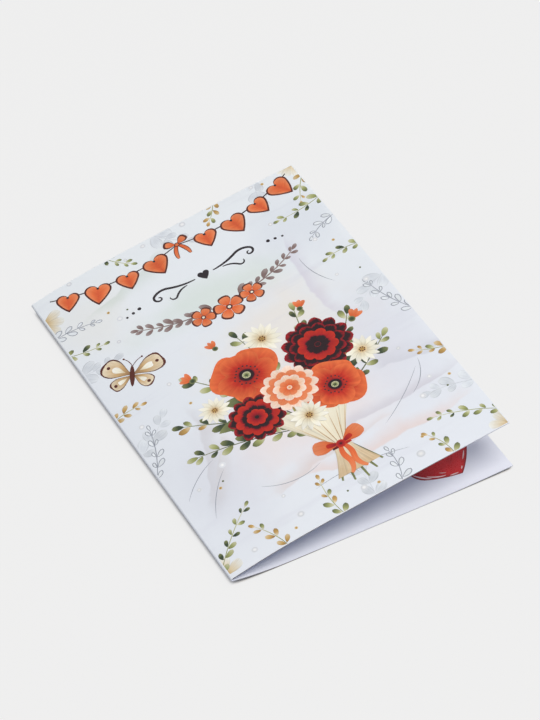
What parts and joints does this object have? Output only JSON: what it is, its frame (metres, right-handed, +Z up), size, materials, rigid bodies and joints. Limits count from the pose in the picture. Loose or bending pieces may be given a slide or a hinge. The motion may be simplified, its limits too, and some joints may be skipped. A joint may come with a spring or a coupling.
{
  "type": "greeting card",
  "caption": "Folded A6 greeting card of one sheet of card, lying on its back with the cover sprung slightly open.",
  "frame": {"origin": "middle of the level stretch of the back panel's outer face, on which the card rests", "axes": "+Z up, out of the table; +Y along the fold towards the top of the cover; +X from the fold towards the free edges"},
  "size_m": [0.1049, 0.148, 0.0224],
  "materials": {
    "card_stock": "smooth uncoated white card with a faint cool wash",
    "cover_print": "matt watercolour-style print in orange, crimson, olive and brown",
    "inside_print": "slightly glossy red print with white brush strokes"
  },
  "bodies": {
    "root": {"folded_card": "card_stock"}
  },
  "joints": []
}
